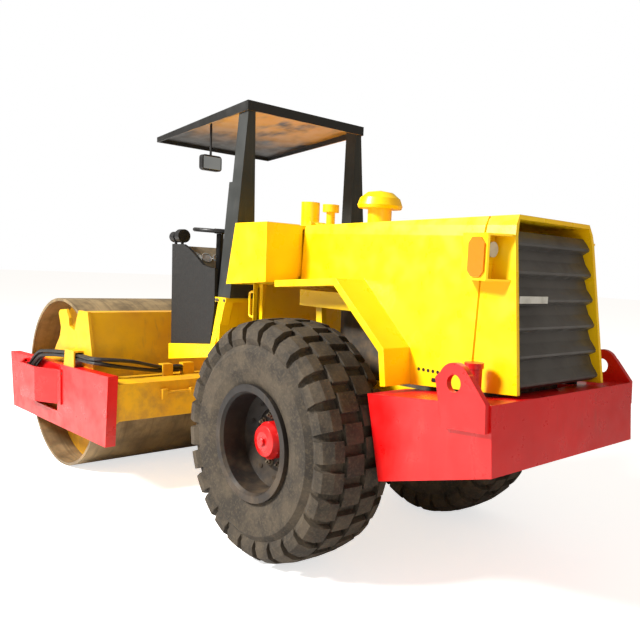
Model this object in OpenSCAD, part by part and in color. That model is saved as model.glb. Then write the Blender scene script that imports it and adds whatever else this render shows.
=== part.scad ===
/* [Machine] */
// Overhang from the rear axle to the back of the counterweight
rear_oh = 1665; // [1600:5:1750]
// Distance from the drum to the front of the drum frame
front_room = 150; // [120:5:200]
// Distance from the rear axle to the steering pin
steer_x = 1500; // [1460:5:1540]
// Distance from the steering pin to the back of the drum
neck = 680; // [650:10:720]
// Half width over the side members of the drum frame
side_half = 1190; // [1180:2:1220]

/* [Drum] */
// Drum diameter
drum_d = 1500; // [1460:5:1520]
// Drum width
drum_w = 2130; // [2100:5:2140]
// Drum shell thickness
shell_t = 25; // [20:1:40]
// Depth of the recess in each drum end
recess_d = 220; // [120:5:300]
// Radius of the journal at each drum end
journal_r = 120; // [100:5:140]

/* [Wheels] */
// Tyre radius over the lugs
tyre_r = 785; // [740:5:790]
// Tyre section width
tyre_w = 560; // [520:5:580]
// Distance from the centre plane to the middle of a tyre
track_y = 785; // [770:5:800]
// Radius of the rim flange
flange_r = 375; // [360:5:400]
// Radius of the wheel spindle
spindle_r = 60; // [50:2:70]

/* [Hood] */
// Height of the hood top at its rear edge
hood_h = 2250; // [2200:5:2300]
// Fall of the hood top from its rear edge to its front edge
hood_fall = 63; // [20:1:90]
// Half width of the hood at its top edge
hood_top_half = 405; // [390:5:420]
// Side lean of the hood, half width gained per metre of drop
hood_flare = 54; // [40:1:70]
// Thickness of the hood panels
hood_t = 25; // [15:1:30]
// Thickness of the lip round the wheel arch
lip_t = 45; // [30:1:55]
// Half width over the wheel arch lips
lip_half = 670; // [640:5:700]
// Number of waves in the rear grille
waves = 6; // [5:1:10]
// Depth of the grille waves
wave_d = 50; // [20:1:60]

/* [Platform] */
// Half width of the operator platform
plat_half = 705; // [680:5:710]
// Height of the platform floor at its front edge
floor_h = 1220; // [1200:5:1240]
// Fall of the floor per metre forward
floor_fall = 100; // [0:5:120]
// Height of the canopy top at its rear edge
canopy_h = 3070; // [3000:5:3150]
// Half width of the canopy
canopy_half = 560; // [540:5:600]
// Length of the canopy
canopy_len = 1350; // [1200:10:1400]

/* [Counterweight] */
// Half width of the counterweight
cw_half = 740; // [720:5:760]
// Radius of the hole in each lifting lug
lug_hole_r = 47; // [40:1:50]
// Thickness of a lifting lug
lug_t = 36; // [30:1:45]

/* [Joints] */
// Radius of the steering pin
pin_r = 45; // [40:1:55]
// Radius of the oscillation shaft
osc_r = 80; // [70:1:90]
// Height of the oscillation axis
osc_z = 770; // [750:5:790]
// Running clearance on a pin
run = 0.05; // [0.02:0.01:0.08]
// Gap between seated pieces
seat = 0.3; // [0.2:0.05:0.5]

/* [Hidden] */
$fn = 64;

drum_r = drum_d / 2;
wheelbase = steer_x + neck + drum_r;
front_oh = drum_r + front_room;
total = rear_oh + wheelbase + front_oh;
axle_x = rear_oh - total / 2;
drum_x = axle_x + wheelbase;
axle_z = tyre_r;
drum_z = drum_d / 2;
pivot_x = axle_x + steer_x;
hood_front = 345;
hood_front_h = hood_h - hood_fall;

yellow = [0.98, 0.84, 0.05];
red = [0.85, 0.08, 0.08];
dark = [0.15, 0.15, 0.15];

// A profile in the (x, z) plane, extruded from y0 to y1
module xz(y0, y1) {
    translate([0, y1, 0]) rotate([90, 0, 0]) linear_extrude(y1 - y0) children();
}

// A profile in the (y, z) plane, extruded from x0 to x1
module yz(x0, x1) {
    translate([x0, 0, 0]) rotate([90, 0, 90]) linear_extrude(x1 - x0) children();
}

// The same shape on both sides of the machine
module both() {
    children();
    mirror([0, 1, 0]) children();
}

// A cylinder along y
module cyl_y(r, y0, y1) {
    translate([0, y1, 0]) rotate([90, 0, 0]) cylinder(h = y1 - y0, r = r);
}

// A cylinder along x
module cyl_x(r, x0, x1) {
    translate([x0, 0, 0]) rotate([0, 90, 0]) cylinder(h = x1 - x0, r = r);
}

module box(x, y, z) {
    translate([x[0], y[0], z[0]]) cube([x[1] - x[0], y[1] - y[0], z[1] - z[0]]);
}

// Left unit normal of the segment a to b
function normal(a, b) = let (d = b - a, n = norm(d)) [-d[1] / n, d[0] / n];

// A path moved sideways by t, with mitred corners
function moved(p, t) = [for (i = [0:len(p) - 1])
    let (
        a = i == 0 ? normal(p[0], p[1]) : normal(p[i - 1], p[i]),
        b = i == len(p) - 1 ? a : normal(p[i], p[i + 1]),
        m = (a + b) / (1 + a * b)
    ) p[i] + t * m];

function back(p) = [for (i = [len(p) - 1:-1:0]) p[i]];

// Chassis of the rear module
rail_out = 400;
rail_t = 25;
rail_z = [620, 1195];
rail_x = [-1440, 1060];
ear_t = 40;
hub_h = 300;
ear_gap = 6;
hub_z = [osc_z - hub_h / 2, osc_z + hub_h / 2];

// Cross plates of the chassis, as [x, lowest z, highest z]
cross_plates = [[rail_x[0], 860, 1120], [-1250, 860, rail_z[1]], [-880, 860, 1120],
    [-260, 860, 1120], [330, 640, 1120], [760, 860, 1120]];
// Bottom of the platform beams
function beam_low() = floor_h - 25 - 80;

module chassis() color(yellow) translate([axle_x, 0, 0]) {
    difference() {
        union() {
            // Side rails, cut away over the axle
            both() xz(rail_out - rail_t, rail_out)
                polygon([[rail_x[0], rail_z[0] + 230], [rail_x[0], rail_z[1]],
                    [rail_x[1] - 160, rail_z[1]], [rail_x[1], rail_z[1] - 60], [rail_x[1] + 120, 900],
                    [rail_x[1] + 120, 640], [rail_x[1] - 200, 560], [-300, 560], [-700, rail_z[0]]]);
            for (p = cross_plates)
                box([p[0], p[0] + rail_t], [-rail_out + rail_t - 1, rail_out - rail_t + 1], [p[1], p[2]]);
            nose();
            both() anchor();
            // Brackets for the struts of the side boxes
            both() box([730, 775], [rail_out - 1, 480], [rail_z[1] - 45, rail_z[1]]);
            // Posts under the platform beams
            both() box([wall_x + 35, wall_x + 95], [beam_y[0], rail_out - 1], [980, beam_low() - seat]);
        }
        // Bore for the axle housing
        translate([0, 0, axle_z]) cyl_y(axle_tube_r + seat, -rail_out - 1, rail_out + 1);
    }
    // Steering pin between the two ears
    translate([steer_x, 0, hub_z[0] - ear_gap - 1]) cylinder(h = hub_h + 2 * ear_gap + 2, r = pin_r);
}

// Bracket and pin for the rear eye of a steering cylinder
module anchor() translate([steer_x + arm_a[0], 0, osc_z]) {
    for (z = [-54, 36]) translate([0, 0, z]) linear_extrude(18) {
        translate([0, arm_a[1]]) circle(r = 48);
        translate([-48, arm_a[1]]) square([96, rail_out - rail_t + 1 - arm_a[1]]);
    }
    translate([0, arm_a[1], -40]) cylinder(h = 80, r = 20);
}

module nose() {
    for (z = [hub_z[0] - ear_gap - ear_t, hub_z[1] + ear_gap])
        translate([0, 0, z]) linear_extrude(ear_t) {
            polygon([[rail_x[1] - 40, -rail_out], [rail_x[1] + 80, -rail_out], [steer_x, -110],
                [steer_x, 110], [rail_x[1] + 80, rail_out], [rail_x[1] - 40, rail_out]]);
            translate([steer_x, 0]) circle(r = 110);
        }
}

// Rear axle housing with its final drives
axle_tube_r = 105;
hub_face = 640;

module rear_axle() color(dark) translate([axle_x, 0, axle_z]) {
    cyl_y(axle_tube_r, -hub_face, hub_face);
    diff_housing();
    both() {
        cyl_y(190, 505, hub_face);
        cyl_y(spindle_r, hub_face - 1, 840);
    }
}

// Differential housing
module diff_housing() {
    rotate([90, 0, 0]) rotate_extrude()
        polygon([[0, -210], [90, -200], [170, -120], [200, -40], [200, 40], [170, 120],
            [90, 200], [0, 210]]);
    cyl_x(80, 120, 330 - seat);
}

// Engine, plain inside the hood
module engine() color([0.2, 0.2, 0.2]) translate([axle_x, 0, 0]) {
    box([-930, 60], [-290, 290], [1120 + seat, 1620]);
    box([-860, -60], [-210, 210], [1600, 1820]);
    translate([-930, 0, 1480]) cyl_x(260, -70, 2);
}

module radiator() color(dark) translate([axle_x, 0, 0]) {
    box([-1330, -1150], [-345, 345], [1195 + seat, hood_h - 170]);
}

// Counterweight: a U round the end of the rails, with an underside that rises to the rear
cw_front = [[-725, 1190], [-850, 690]];
cw_rear = [[-rear_oh + 30, 1270], [-rear_oh, 900]];
cw_inner = rail_out + seat;

module counterweight() color(red) translate([axle_x, 0, 0]) difference() {
    xz(-cw_half, cw_half) polygon([cw_front[0], cw_rear[0], cw_rear[1], cw_front[1]]);
    box([rail_x[0] - seat, 0], [-cw_inner, cw_inner], [600, 1400]);
}

// Height of the lower edge of the hood
function hood_low(x) = hood_rear[1][1] + (x - hood_rear[1][0])
    * (arch_in[3][1] - hood_rear[1][1]) / (arch_in[3][0] - hood_rear[1][0]);

// Rests for the hood, on the counterweight
module hood_rests() color(dark) translate([axle_x, 0, 0]) both() xz(430, 462)
    polygon([for (e = [[-1400, 1], [-1330, 1], [-1330, 0], [-1400, 0]])
        [e[0], e[1] == 1 ? hood_low(e[0]) - seat : cw_top(e[0]) + seat]]);

// Lifting lugs on the flanks of the counterweight
lug_c = [-1410, 1353];

module lifting_lugs() color(red) translate([axle_x, 0, 0])
    both() difference() {
        xz(cw_half + seat, cw_half + seat + lug_t) union() {
            polygon([[-1340, 1110], [-1280, 1370], [-1310, 1400], [-1450, 1445], [-1510, 1405],
                [-1625, 1275], [-1632, 1128]]);
            translate(lug_c) circle(r = 108);
        }
        translate([lug_c[0], 0, lug_c[1]]) cyl_y(lug_hole_r, cw_half, cw_half + 2 * lug_t);
    }

// Capped filler beside the hood, standing on the slope of the counterweight
filler = [-1365, 560, 1415];
function cw_top(x) = cw_front[0][1] + (x - cw_front[0][0])
    * (cw_rear[0][1] - cw_front[0][1]) / (cw_rear[0][0] - cw_front[0][0]);

module filler_post() color(red) translate([axle_x, 0, 0]) {
    intersection() {
        translate([filler[0], filler[1], 1100]) cylinder(h = filler[2] - 1100, r = 46);
        xz(filler[1] - 60, filler[1] + 60) polygon([[filler[0] - 60, cw_top(filler[0] - 60) + seat],
            [filler[0] + 60, cw_top(filler[0] + 60) + seat], [filler[0] + 60, 1500], [filler[0] - 60, 1500]]);
    }
    translate([filler[0], filler[1], filler[2] - 1]) cylinder(h = 30, r = 54);
}

// Operator platform: a tray with two beams under the floor
wall_x = 950;
wall_t = 25;
plat_x = [wall_x + wall_t + seat, 1690];
skirt_h = 125;
beam_y = [270, 330];
function floor_top(x) = floor_h + floor_fall * (plat_x[1] - x) / 1000;

module platform() color(yellow) translate([axle_x, 0, 0]) {
    difference() {
        xz(-plat_half, plat_half) polygon([[plat_x[1], floor_h], [plat_x[0], floor_top(plat_x[0])],
            [plat_x[0], floor_h - 25], [plat_x[1], floor_h - skirt_h]]);
        // Hollow underneath, behind the skirt
        xz(-plat_half + 25, plat_half - 25) polygon([[plat_x[1] - 25, floor_h - 25],
            [plat_x[0] - 1, floor_top(plat_x[0]) - 28], [plat_x[0] - 1, 0], [plat_x[1] - 25, 0]]);
    }
    both() xz(beam_y[0], beam_y[1]) polygon([[plat_x[1] - 24, floor_h - 24],
        [plat_x[0] + 5, floor_top(plat_x[0]) - 27], [plat_x[0] + 5, beam_low()], [plat_x[1] - 24, beam_low()]]);
}

// Wall behind the platform, with the pillars under the posts and the cowl behind the seat
cowl_x = [360, wall_x];
cowl_half = 440;
cowl_h = hood_front_h - 2;

module bulkhead() color(yellow) translate([axle_x, 0, 0]) {
    yz(wall_x, wall_x + wall_t) polygon([[-plat_half, 1200], [plat_half, 1200], [plat_half - 20, post_z],
        [cowl_half, post_z], [cowl_half, cowl_h - 15], [-cowl_half, cowl_h - 15], [-cowl_half, post_z],
        [-plat_half + 20, post_z]]);
    both() {
        xz(620, 690) polygon([[1027, floor_top(1027) + seat], [1083, floor_top(1083) + seat],
            [975, 1640], [885, 1640], [930, 1500], [960, 1400]]);
        box([885, 985], [post_in[0], 690], [1605, 1640]);
        box([984, 1030], [525, 690], [1605, 1640]);
        // Side walls of the cowl
        xz(cowl_half - 25, cowl_half)
            polygon([[cowl_x[0], 1830], [wall_x + 1, 1700], [wall_x + 1, cowl_h - 15], [cowl_x[0], cowl_h]]);
        // Hinge knuckles for the hood
        for (y = [232, 332]) xz(y, y + 36) {
            translate(hood_pivot) circle(r = 18);
            polygon([[hood_pivot[0], hood_pivot[1] + 18], [400, cowl_h - 1], [hood_pivot[0] + 16, cowl_h - 1],
                [hood_pivot[0] + 16, hood_pivot[1] - 10]]);
        }
        translate([hood_pivot[0], 0, hood_pivot[1]]) cyl_y(10, 240, 360);
    }
    xz(-cowl_half, cowl_half) polygon([[cowl_x[0], cowl_h - 25], [wall_x + 1, cowl_h - 25],
        [wall_x + 1, cowl_h], [cowl_x[0], cowl_h]]);
}

// Boxes on both sides of the seat, over the front of each wheel arch
box_x = [360, 740];
module side_boxes() color(yellow) translate([axle_x, 0, 0])
    both() {
        xz(cowl_half + seat, plat_half + 10) polygon([[box_x[0], cowl_h + 5], [box_x[1], cowl_h - 5],
            [box_x[1] + 105, 1745], [box_x[0], 1785]]);
        // Strut down to the chassis
        xz(445, 475) polygon([[735, rail_z[1] + seat], [770, rail_z[1] + seat], [770, 1760], [735, 1760]]);
    }

// Shelves inside the wheel arches
module arch_shelves() color(yellow) translate([axle_x, 0, 0]) both() {
    box([-290, 270], [410, 490], [1635, 1745]);
    xz(rail_out + seat, 440) polygon([[50, 1080], [120, 1080], [150, 1640], [90, 1640]]);
}

// Tank necks behind the seat
module stacks() color(yellow) translate([axle_x, 0, cowl_h + seat]) {
    translate([594, 170, 0]) cylinder(h = 190, r = 68);
    translate([430, 110, 0]) {
        cylinder(h = 130, r = 32);
        translate([0, 0, 120]) cylinder(h = 55, r = 60);
    }
}

// Black console at the left front corner of the platform: a guard with a curved top edge and a low body
guard_y = [665, 690];
guard_h = 2020;
module console() color([0.06, 0.06, 0.06]) translate([axle_x, 0, 0]) {
    xz(guard_y[0], guard_y[1]) polygon([[1680, floor_top(1680) + seat], [1090, floor_top(1090) + seat],
        [1040, 1560], [1040, 1853], [1109, 1850], [1209, 1869], [1358, 1955], [1440, 1996],
        [1511, guard_h], [1680, guard_h]]);
    xz(330, guard_y[0] + 1) polygon([[1680, floor_top(1680) + seat], [1420, floor_top(1420) + seat],
        [1440, 1600], [1680, 1600]]);
}

module dash_panel() color([0.45, 0.42, 0.36]) translate([axle_x, 0, 0])
    xz(330, guard_y[0] - seat) polygon([[1510, 1600 + seat], [1680, 1600 + seat], [1680, 2008], [1625, 2008],
        [1510, 1840]]);

// Steering column and wheel
column = [1470, 400, 1600];
column_tilt = -2;
column_len = 520;
module at_column() translate([axle_x + column[0], column[1], column[2]]) rotate([0, column_tilt, 0]) children();

module steering_column() color(dark) intersection() {
    at_column() translate([0, 0, -40]) cylinder(h = 40 + column_len, r = 28);
    box([0, 2000], [0, 1000], [column[2] + seat, 2300]);
}

module steering_wheel() color(dark) at_column() translate([0, 0, column_len + seat]) {
    rotate_extrude() translate([195, 20]) circle(r = 16, $fn = 24);
    cylinder(h = 40, r = 45);
    for (a = [90, 210, 330]) rotate([0, 0, a]) translate([30, -14, 12]) cube([150, 28, 16]);
}

// Seat, left of the centre plane
seat_y = 290;
seat_z = [1540, 1660];
module seat_base() color(dark) translate([axle_x, seat_y, 0])
    xz(-200, 200) polygon([[1020, floor_top(1020) + seat], [1300, floor_top(1300) + seat],
        [1280, seat_z[0]], [1040, seat_z[0]]]);
module seat_cushion() color([0.1, 0.1, 0.1]) translate([axle_x, seat_y, 0])
    box([990, 1390], [-230, 230], [seat_z[0] + seat, seat_z[1]]);
module seat_back() color([0.1, 0.1, 0.1]) translate([axle_x, seat_y, 0])
    xz(-220, 220) polygon([[1010, seat_z[1] + seat], [1120, seat_z[1] + seat], [1080, 2050], [1000, 2050]]);

// Roll over posts, each a tapered box
canopy_x = 855;
canopy_t = 70;
canopy_drop = 160;
canopy_rim = 12;
post_x = [canopy_x + canopy_rim + seat, 988];
post_z = 1640;
post_out = [668, canopy_half - canopy_rim - seat];
post_in = [462, 488];
function canopy_top(x) = canopy_h - canopy_drop * (x - canopy_x) / canopy_len;

post_deep = 1028;
post_step = 2490;
function post_edge(z) = post_out[0] + (z - post_z) * (post_out[1] - post_out[0]) / (canopy_h - canopy_t - 20 - post_z);

module rops_posts() color([0.3, 0.31, 0.31]) translate([axle_x, 0, 0]) both() {
    post();
    // Deeper lower half
    yz(post_x[1] - 1, post_deep) polygon([[525, post_z + seat], [post_edge(post_z), post_z + seat],
        [post_edge(post_step), post_step], [525, post_step]]);
}

module post() intersection() {
    yz(post_x[0], post_x[1]) polygon([[post_in[0], post_z + seat], [post_out[0], post_z + seat],
        [post_out[1], canopy_h - canopy_t - 20], [post_out[1], canopy_h], [post_in[1], canopy_h]]);
    xz(0, 1000) polygon([[post_x[0] - 1, 1000], [post_x[1] + 1, 1000],
        [post_x[1] + 1, canopy_top(post_x[1] + 1) - 16 - seat], [post_x[0] - 1, canopy_top(post_x[0] - 1) - 16 - seat]]);
}

// Canopy: a tray with turned down edges that slopes forward
module canopy() color(dark) translate([axle_x, 0, 0]) difference() {
    xz(-canopy_half, canopy_half) polygon([[canopy_x, canopy_h], [canopy_x + canopy_len, canopy_h - canopy_drop],
        [canopy_x + canopy_len, canopy_h - canopy_drop - 40], [canopy_x, canopy_h - canopy_t]]);
    xz(-canopy_half + canopy_rim, canopy_half - canopy_rim) polygon([
        [canopy_x + canopy_rim, canopy_top(canopy_x + canopy_rim) - 16],
        [canopy_x + canopy_len - canopy_rim, canopy_top(canopy_x + canopy_len - canopy_rim) - 16],
        [canopy_x + canopy_len - canopy_rim, canopy_h - 570], [canopy_x + canopy_rim, canopy_h - 570]]);
}

// Mirror on a rod under the canopy
mirror_at = [1500, 470, canopy_h - 380];
module rear_mirror() color(dark) translate([axle_x + mirror_at[0], mirror_at[1], mirror_at[2]]) {
    cylinder(h = canopy_top(mirror_at[0] + 10) - 16 - seat - mirror_at[2], r = 9);
    yz(-25, 25) hull() for (y = [-60, 60], z = [-55, 15]) translate([y, z]) circle(r = 25, $fn = 24);
}

module work_lights() color(dark) translate([axle_x, 0, 0])
    for (p = [[1645, 677, 42], [1545, 677, 52]]) translate([p[0], p[1], guard_h + seat]) {
        cylinder(h = 30, r = 11);
        translate([-30, 0, 12 + p[2]]) rotate([0, 90, 0]) cylinder(h = 60, r = p[2]);
    }

// Hood with the wheel arch lips
hood_rear = [[-1459, hood_h], [-1587, 1285]];
arch = [[320, 1800], [-315, 1845], [-770, 1455], [-800, 1236]];
arch_in = moved(arch, lip_t);
hood_pivot = [hood_front, hood_front_h + 13];
seam_x = -1270;

// Height of the hood top along its length
function hood_top(x) = hood_h + (hood_front_h - hood_h) * (x - hood_rear[0][0]) / (hood_front - hood_rear[0][0]);
function half_at(z) = hood_top_half + (hood_h - z) * hood_flare / 1000;

module hood_section(cut, low) polygon([[-half_at(low) + cut, low], [-half_at(hood_h - 120) + cut, hood_h - 120],
    [-half_at(hood_h) + cut + 6, hood_h - 60], [-hood_top_half + 50, hood_h + 20 - cut],
    [hood_top_half - 50, hood_h + 20 - cut], [half_at(hood_h) - cut - 6, hood_h - 60],
    [half_at(hood_h - 120) - cut, hood_h - 120], [half_at(low) - cut, low]]);

module engine_hood() color(yellow) translate([axle_x, 0, 0]) {
    difference() {
        intersection() {
            xz(-800, 800) polygon(concat([[hood_front, hood_front_h]], hood_rear, back(arch_in),
                [[hood_front, 1755]]));
            yz(-1700, 500) hood_section(0, 1100);
        }
        intersection() {
            xz(-800, 800) polygon([[500, hood_top(500) - hood_t], [-1459, hood_h - hood_t], [-1700, hood_h - hood_t],
                [-1700, 1000], [500, 1000]]);
            yz(-1800, 600) hood_section(hood_t, 900);
        }
        // Room for the hinge
        both() box([318, 400], [224, 376], [hood_front_h - 87, hood_front_h + 113]);
        // Seam round the hood
        box([seam_x, seam_x + 14], [-500, 500], [hood_top(seam_x) - 12, hood_h + 50]);
        difference() {
            yz(seam_x, seam_x + 14) hood_section(-20, 1100);
            yz(seam_x - 1, seam_x + 15) hood_section(12, 1000);
        }
    }
    both() xz(half_at(1800) - hood_t - 4, lip_half) polygon(concat(arch, back(arch_in)));
    // Hinge knuckles
    both() difference() {
        xz(271, 329) {
            translate(hood_pivot) circle(r = 18);
            polygon([for (q = [[-65, -32], [-65, -6], [0, 18], [0, -18], [-15, -32]]) hood_pivot + q]);
        }
        translate([hood_pivot[0], 0, hood_pivot[1]]) cyl_y(10 + run, 260, 340);
    }
}

// Rear grille: louvres between the hood sides. Each comes out slowly from its top edge and turns
// back quickly at its foot, as [share of the height down, share of the depth]
louvre = [[1, 0], [0.93, 0.4], [0.85, 0.9], [0.75, 1], [0.6, 0.75], [0.35, 0.25]];
function grille_line(t) = hood_rear[1] + (hood_rear[0] - hood_rear[1]) * t;
function louvre_at(i, q) = grille_line(0.012 + 0.955 * (i + 1 - q[0]) / waves)
    + [20 + wave_d * (1 - q[1]), 0];
module grille() color(dark) translate([axle_x, 0, 0]) {
    front = [for (i = [0:waves - 1], q = louvre) louvre_at(i, q)];
    intersection() {
        xz(-700, 700) polygon(concat(front, back([for (p = front) p + [14, 0]])));
        yz(-1700, -1300) hood_section(hood_t + seat, 1100);
    }
}

// Lamp housings on the rear corners of the hood, open to the rear
lamp_z = [hood_h - 365, hood_h - 110];
lamp_face = [[-1200, 520], [-1385, 535]];
function lamp_side(x) = lamp_face[0][1] + (x - lamp_face[0][0])
    * (lamp_face[1][1] - lamp_face[0][1]) / (lamp_face[1][0] - lamp_face[0][0]);

module plan(z) translate([0, 0, z[0]]) linear_extrude(z[1] - z[0]) children();

module lamp_housings() color(yellow) translate([axle_x, 0, 0]) both() difference() {
    plan(lamp_z) polygon([[-1200, 380], lamp_face[0], lamp_face[1], [-1470, 430], [-1470, 380]]);
    plan([lamp_z[0] + 12, lamp_z[1] - 12]) polygon([[-1340, 300], [-1340, 519], [-1387, 523],
        [-1500, 530], [-1500, 300]]);
    yz(-1500, -1100) hood_section(-seat, 1100);
}
module side_lenses() color([0.9, 0.45, 0.05]) translate([axle_x, 0, 0]) both() intersection() {
    plan(lamp_z) polygon([[-1254, lamp_side(-1254) + seat], [-1372, lamp_side(-1372) + seat],
        [-1372, lamp_side(-1372) + 12], [-1254, lamp_side(-1254) + 12]]);
    xz(500, 600) polygon([for (q = [[-1254, 50], [-1282, 20], [-1344, 20], [-1372, 50], [-1372, 200],
        [-1344, 233], [-1282, 233], [-1254, 200]]) q + [0, lamp_z[0]]]);
}
module rear_lamps() color([0.8, 0.8, 0.78]) translate([axle_x - 1340 - seat, 0, hood_h - 195])
    both() translate([0, 469, 0]) rotate([0, -90, 0]) cylinder(h = 36, r = 42);

// Mushroom precleaner
cleaner = [-30, 50];
module precleaner() color(yellow) translate([axle_x + cleaner[0], cleaner[1], hood_top(cleaner[0])]) {
    intersection() {
        translate([0, 0, -20]) cylinder(h = 170, r = 84);
        xz(-100, 100) polygon([for (e = [[-100, 0], [100, 0], [100, 1], [-100, 1]])
            [e[0], e[1] == 1 ? 200 : hood_top(cleaner[0] + e[0]) - hood_top(cleaner[0]) + seat]]);
    }
    translate([0, 0, 130]) rotate_extrude()
        polygon([[0, 0], [150, 0], [158, 20], [140, 70], [90, 110], [0, 125]]);
}

// Wheels
bead_r = 335;
bead_half = 228;
tyre_half = tyre_w / 2;
groove_d = 40;
lug_n = 26;
lug_len = 122;
// Rows of tread blocks, as [inner edge, outer edge, share of a pitch turned]
lug_rows = [[-tyre_half, -tyre_half / 2 - 8, 0], [-tyre_half / 2 + 8, -8, 0.5],
    [8, tyre_half / 2 - 8, 0], [tyre_half / 2 + 8, tyre_half, 0.5]];

// Right half of the tyre's outline over the lugs, as [distance from the middle, radius]
tread_line = [[0, tyre_r], [0.43 * tyre_half, tyre_r - 5], [0.75 * tyre_half, tyre_r - 22],
    [0.94 * tyre_half, tyre_r - 66], [0.97 * tyre_half, tyre_r - 125]];
function side_by_side(p) = concat([for (q = back(p)) [-q[0], q[1]]], [for (q = p) if (q[0] > 0) q]);
function deeper(p, t) = [for (q = p) [q[0] - (q[0] > 0.9 * tyre_half ? t / 2 : 0), q[1] - t]];
carcass_line = concat(deeper(tread_line, groove_d), [[tyre_half, tyre_r - 205], [0.97 * tyre_half, 470],
    [0.9 * tyre_half, 395], [bead_half, bead_r]]);

module carcass() rotate_extrude()
    polygon([for (q = side_by_side(carcass_line)) [q[1], q[0]]]);

module tread() intersection() {
    rotate_extrude() polygon(concat([for (q = side_by_side(tread_line)) [q[1], q[0]]],
        [for (q = back(side_by_side(deeper(tread_line, groove_d + 6)))) [q[1], q[0]]]));
    for (row = lug_rows, i = [0:lug_n - 1]) rotate([0, 0, 360 * (i + row[2]) / lug_n])
        translate([tyre_r - 220, -lug_len / 2, row[0]]) cube([230, lug_len, row[1] - row[0]]);
}

module tyre() rotate([-90, 0, 0]) {
    carcass();
    tread();
}

module tyre_left() color([0.16, 0.15, 0.14]) translate([axle_x, track_y, axle_z]) tyre();
module tyre_right() color([0.16, 0.15, 0.14]) mirror([0, 1, 0])
    translate([axle_x, track_y, axle_z]) tyre();

rim_out = 275;
module rim() rotate([-90, 0, 0]) difference() {
    rotate_extrude() polygon([[flange_r, -rim_out], [flange_r, -rim_out + 30], [bead_r - seat, -rim_out + 39],
        [bead_r - seat, rim_out - 39], [flange_r, rim_out - 30], [flange_r, rim_out],
        [bead_r - 5, rim_out], [bead_r - 20, rim_out - 20], [bead_r - 20, 90], [210, 60], [190, 66], [0, 66],
        [0, -130], [150, -130], [150, 30], [bead_r - 20, 40], [bead_r - 20, -rim_out + 20], [bead_r - 5, -rim_out]]);
    translate([0, 0, -131]) cylinder(h = 191, r = spindle_r + run);
}
module rim_left() color(dark) translate([axle_x, track_y, axle_z]) rim();
module rim_right() color(dark) mirror([0, 1, 0]) translate([axle_x, track_y, axle_z]) rim();

module hub() rotate([-90, 0, 0]) translate([0, 0, 66 + seat]) rotate_extrude()
    polygon([[0, 0], [122, 0], [122, 60], [100, 95], [60, 105], [0, 105]]);
module hub_left() color(red) translate([axle_x, track_y, axle_z]) hub();
module hub_right() color(red) mirror([0, 1, 0]) translate([axle_x, track_y, axle_z]) hub();

// Centre link: a vertical hub on the steering pin and a shaft along x
arm_b = [100, 200];
module centre_link() color(yellow) translate([pivot_x, 0, 0]) difference() {
    union() {
        translate([0, 0, hub_z[0]]) cylinder(h = hub_h, r = 100);
        translate([0, 0, osc_z]) cyl_x(130, 0, neck - 465);
        translate([0, 0, osc_z]) cyl_x(osc_r, 200, neck - 70);
        // Ears for the steering rods
        for (z = [osc_z - 82, osc_z + 52]) translate([0, 0, z]) linear_extrude(30)
            polygon([[0, -90], [30, -arm_b[1] - 50], [arm_b[0] + 50, -arm_b[1] - 50], [190, -90],
                [190, 90], [arm_b[0] + 50, arm_b[1] + 50], [30, arm_b[1] + 50], [0, 90]]);
    }
    translate([0, 0, hub_z[0] - 1]) cylinder(h = hub_h + 2, r = pin_r + run);
}

// Steering cylinders, from the rails to the link
arm_a = [-620, 300];
cyl_vec = arm_b - arm_a;
cyl_len = norm(cyl_vec);
cyl_ang = atan2(cyl_vec[1], cyl_vec[0]);
barrel_len = 520;
rod_len = 420;

module at_cylinder() translate([pivot_x + arm_a[0], arm_a[1], osc_z]) rotate([0, 0, cyl_ang]) children();

module barrel() difference() {
    union() {
        translate([0, 0, -30]) cylinder(h = 60, r = 42);
        cyl_x(28, 20, 80);
        cyl_x(44, 70, barrel_len);
    }
    translate([0, 0, -31]) cylinder(h = 62, r = 20 + run);
    cyl_x(20 + run, 100, barrel_len + 1);
    cyl_x(34, 100, barrel_len - 55);
}

module rod() {
    cyl_x(20, cyl_len - rod_len, cyl_len - 20);
    translate([cyl_len, 0, -28]) cylinder(h = 56, r = 42);
    translate([cyl_len, 0, -46]) cylinder(h = 92, r = 20);
    cyl_x(33.95, cyl_len - rod_len - 30, cyl_len - rod_len + 4);
}

module barrel_left() color(yellow) at_cylinder() barrel();
module barrel_right() color(yellow) mirror([0, 1, 0]) at_cylinder() barrel();
module rod_left() color([0.8, 0.8, 0.8]) at_cylinder() rod();
module rod_right() color([0.8, 0.8, 0.8]) mirror([0, 1, 0]) at_cylinder() rod();

// Drum frame, with x measured from the drum axle
plate_out = 1110;
plate_t = 25;
plate_in = plate_out - plate_t;
// A place behind the drum, from its surface
function aft(d) = -drum_r - d;
beam_rear = aft(430);
// Outline of a side plate, as [x, z] from the drum axle
side_plate = [[beam_rear, -150], [beam_rear, 155], [aft(35), 155], [aft(-11), 350], [aft(-89), 680],
    [aft(-266), 680], [aft(-307), 616], [-395, 499], [-287, 533], [-275, 601], [-215, 671], [-89, 656],
    [-58, 628], [-107, 507], [-86, 429], [4, 333], [60, 260], [370, 180], [front_oh - 5, 150],
    [front_oh - 45, -280], [400, -320], [aft(150), -320]];

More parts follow.
